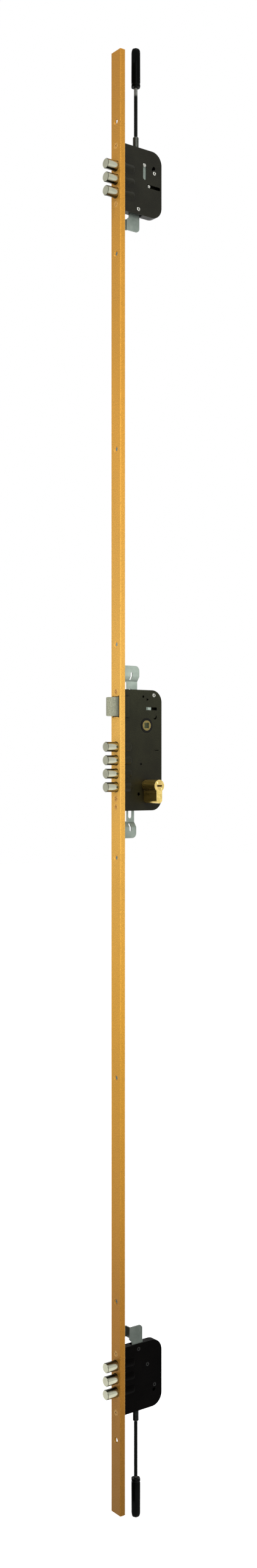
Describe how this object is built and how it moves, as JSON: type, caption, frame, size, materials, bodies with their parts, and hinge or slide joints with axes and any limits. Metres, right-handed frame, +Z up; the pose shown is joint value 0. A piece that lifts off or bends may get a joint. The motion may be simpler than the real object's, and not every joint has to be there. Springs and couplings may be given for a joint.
{
  "type": "multipoint door lock",
  "caption": "Mortise lock for a door's edge: U-section faceplate with round bolts at three heights, sprung latch, profile cylinder, gear drive and end rods.",
  "frame": {"origin": "on the handle spindle's axis, at the middle of the lock's thickness", "axes": "+X into the door from its edge (bolts point -X), +Y across the door's thickness away from the camera side, +Z up along the faceplate"},
  "size_m": [0.095, 0.0708, 2.0665],
  "materials": {
    "gilt": "satin gold lacquer",
    "gilt_screw": "plated",
    "case_paint": "satin",
    "zinc_plate": "zinc plated",
    "nickel": "nickel plated",
    "steel": "bright",
    "spring_steel": "plain",
    "brass": "satin",
    "black_steel": "smooth black",
    "black_plastic": "gloss",
    "latch_nickel": "grained nickel"
  },
  "bodies": {
    "lock_case": {"case_screws": "gilt_screw", "cylinder_body": "brass", "cylinder_screw": "gilt_screw", "faceplate": "gilt", "fixing_blocks": "steel", "gear_stud": "steel", "latch_spring": "spring_steel", "lower_case_cover": "case_paint", "lower_case_rivets": "steel", "lower_case_tray": "case_paint", "main_case_cover": "case_paint", "main_case_rivets": "steel", "main_case_tray": "case_paint", "plate_guide_pins": "steel", "upper_case_cover": "case_paint", "upper_case_rivets": "steel", "upper_case_tray": "case_paint"},
    "key_cam": {"plug_outside": "brass", "plug_inside": "brass", "cam_gear": "steel"},
    "reduction_gear": {"reduction_gear": "steel"},
    "main_bolts": {"main_carriage": "zinc_plate", "main_bolt_1": "nickel", "main_bolt_2": "nickel", "main_bolt_3": "nickel", "main_bolt_4": "nickel"},
    "upper_drive": {"upper_main_plate": "zinc_plate", "upper_main_pin": "steel", "upper_connecting_bar": "zinc_plate", "upper_drive_plate": "zinc_plate", "upper_drive_pin": "steel", "upper_drive_rivets": "steel", "upper_coupling_sleeve": "steel", "upper_rod": "black_steel", "upper_rod_cap": "black_plastic"},
    "upper_bolts": {"upper_carriage": "zinc_plate", "upper_bolt_1": "nickel", "upper_bolt_2": "nickel", "upper_bolt_3": "nickel", "upper_carriage_pin": "steel"},
    "lower_drive": {"lower_main_plate": "zinc_plate", "lower_main_pin": "steel", "lower_connecting_bar": "zinc_plate", "lower_drive_plate": "zinc_plate", "lower_drive_pin": "steel", "lower_drive_rivets": "steel", "lower_coupling_sleeve": "steel", "lower_rod": "black_steel", "lower_rod_cap": "black_plastic"},
    "lower_bolts": {"lower_carriage": "zinc_plate", "lower_bolt_1": "nickel", "lower_bolt_2": "nickel", "lower_bolt_3": "nickel", "lower_carriage_pin": "steel"},
    "hub": {"spindle_hub": "brass"},
    "latch": {"latch_bolt": "latch_nickel", "latch_tail": "zinc_plate"}
  },
  "joints": [
    {"name": "lower_drive_slide", "type": "slide", "parent": "lock_case", "child": "lower_drive", "axis": [0, 0, 1], "range_m": [0, 0.01745]},
    {"name": "key_turn", "type": "hinge", "parent": "lock_case", "child": "key_cam", "pos_m": [0, 0, -0.085], "axis": [0, -1, 0], "range_deg": [0, 720.01]},
    {"name": "gear_turn", "type": "hinge", "parent": "lock_case", "child": "reduction_gear", "pos_m": [0, 0, -0.05625], "axis": [0, 1, 0], "range_deg": [0, 200.01]},
    {"name": "main_bolts_slide", "type": "slide", "parent": "lock_case", "child": "main_bolts", "axis": [1, 0, 0], "range_m": [0, 0.01746]},
    {"name": "upper_drive_slide", "type": "slide", "parent": "lock_case", "child": "upper_drive", "axis": [0, 0, -1], "range_m": [0, 0.01746]},
    {"name": "upper_bolts_slide", "type": "slide", "parent": "lock_case", "child": "upper_bolts", "axis": [1, 0, 0], "range_m": [0, 0.01746]},
    {"name": "lower_bolts_slide", "type": "slide", "parent": "lock_case", "child": "lower_bolts", "axis": [1, 0, 0], "range_m": [0, 0.01746]},
    {"name": "latch_slide", "type": "slide", "parent": "lock_case", "child": "latch", "axis": [1, 0, 0], "range_m": [0, 0.01172], "stiffness_N_per_m": 300, "springref_m": -0.01, "deforming": ["latch_spring"]},
    {"name": "hub_turn", "type": "hinge", "parent": "lock_case", "child": "hub", "pos_m": [0, 0, 0], "axis": [0, 1, 0], "range_deg": [0, 38.01]}
  ],
  "couplings": [
    {"joint": "key_turn", "follows": "lower_drive_slide", "rad_per_m": 720},
    {"joint": "gear_turn", "follows": "lower_drive_slide", "rad_per_m": 200},
    {"joint": "main_bolts_slide", "follows": "lower_drive_slide", "ratio": 1},
    {"joint": "upper_drive_slide", "follows": "lower_drive_slide", "ratio": 1},
    {"joint": "upper_bolts_slide", "follows": "lower_drive_slide", "ratio": 1},
    {"joint": "lower_bolts_slide", "follows": "lower_drive_slide", "ratio": 1},
    {"joint": "hub_turn", "follows": "latch_slide", "rad_per_m": 56.587}
  ]
}
